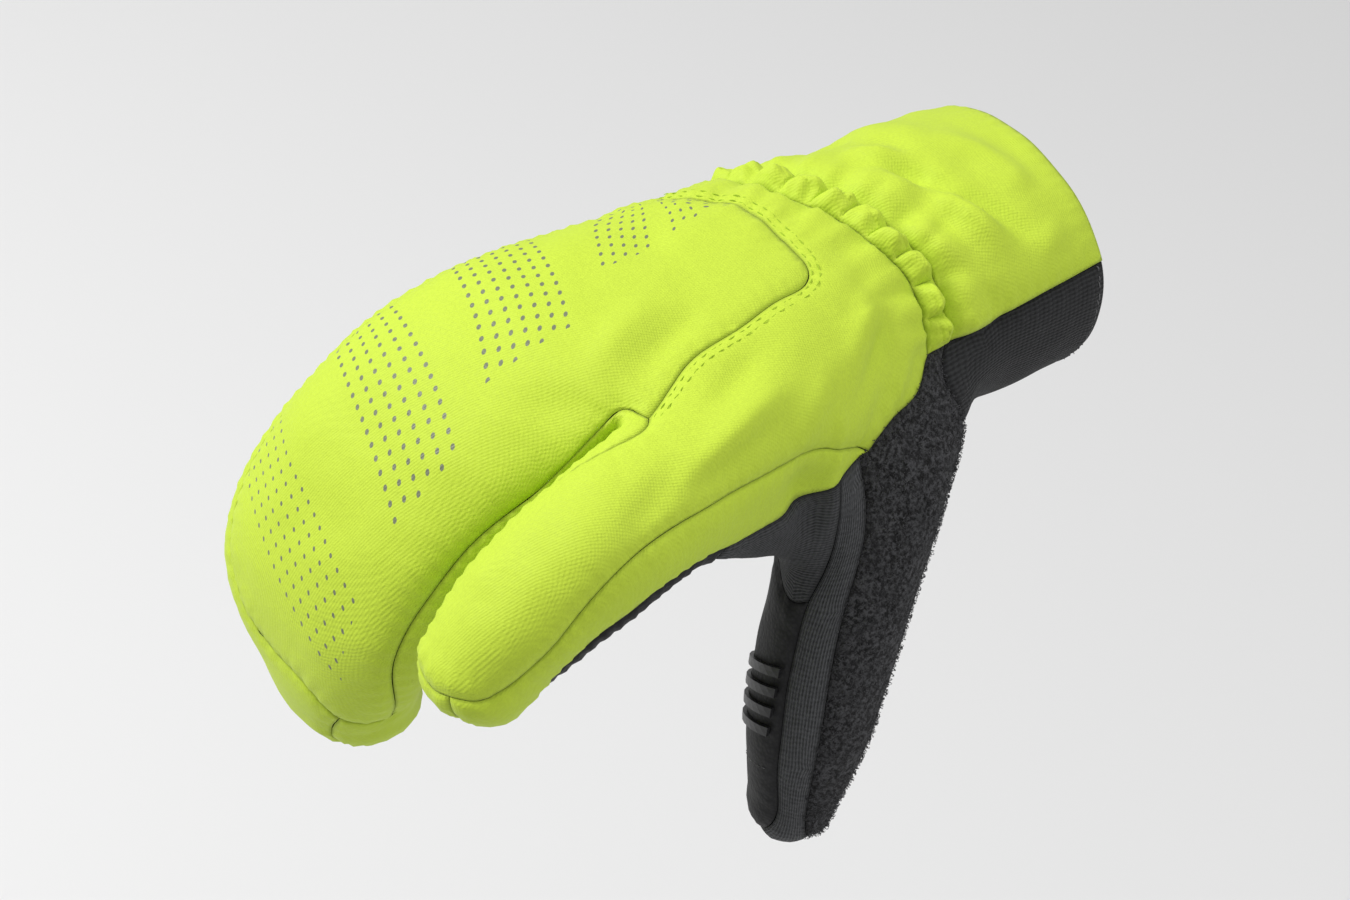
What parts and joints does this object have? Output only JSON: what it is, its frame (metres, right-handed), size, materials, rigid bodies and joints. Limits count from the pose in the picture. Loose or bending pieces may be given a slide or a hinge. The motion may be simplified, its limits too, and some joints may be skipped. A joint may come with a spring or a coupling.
{
  "type": "split-finger winter mitten",
  "caption": "Right-hand split-finger winter mitten with softshell back, gathered wrist, knit palm cuff, terry-backed thumb and grip bars.",
  "frame": {"origin": "centre of the cuff's opening, where the wrist goes in", "axes": "+X from the cuff's opening towards the fingertips, +Y towards the thumb's side, +Z out of the back of the hand"},
  "size_m": [0.2181, 0.1315, 0.1495],
  "materials": {
    "back_panel": "matt softshell",
    "index_back_panel": "matt softshell",
    "cuff_back": "matt softshell",
    "cuff_palm": "matt knit",
    "fourchette_outer": "matt softshell",
    "fourchette_middle": "matt softshell",
    "fourchette_index_side": "matt softshell",
    "palm_panel": "matt synthetic leather",
    "index_palm_panel": "matt synthetic leather",
    "thumb_web": "ribbed knit",
    "thumb_side_strip": "ribbed knit",
    "thumb_grip_panel": "smooth synthetic leather",
    "thumb_terry": "terry loop pile",
    "wrist_gather": "matt softshell over elastic",
    "grip_bar_1": "glossy silicone",
    "grip_bar_2": "glossy silicone",
    "grip_bar_3": "glossy silicone",
    "grip_bar_4": "glossy silicone"
  },
  "bodies": {
    "root": {"back_panel": "back_panel", "index_back_panel": "index_back_panel", "cuff_back": "cuff_back", "cuff_palm": "cuff_palm", "fourchette_outer": "fourchette_outer", "fourchette_middle": "fourchette_middle", "fourchette_index_side": "fourchette_index_side", "palm_panel": "palm_panel", "index_palm_panel": "index_palm_panel", "thumb_web": "thumb_web", "thumb_side_strip": "thumb_side_strip", "thumb_grip_panel": "thumb_grip_panel", "thumb_terry": "thumb_terry", "wrist_gather": "wrist_gather", "grip_bar_1": "grip_bar_1", "grip_bar_2": "grip_bar_2", "grip_bar_3": "grip_bar_3", "grip_bar_4": "grip_bar_4"}
  },
  "joints": []
}
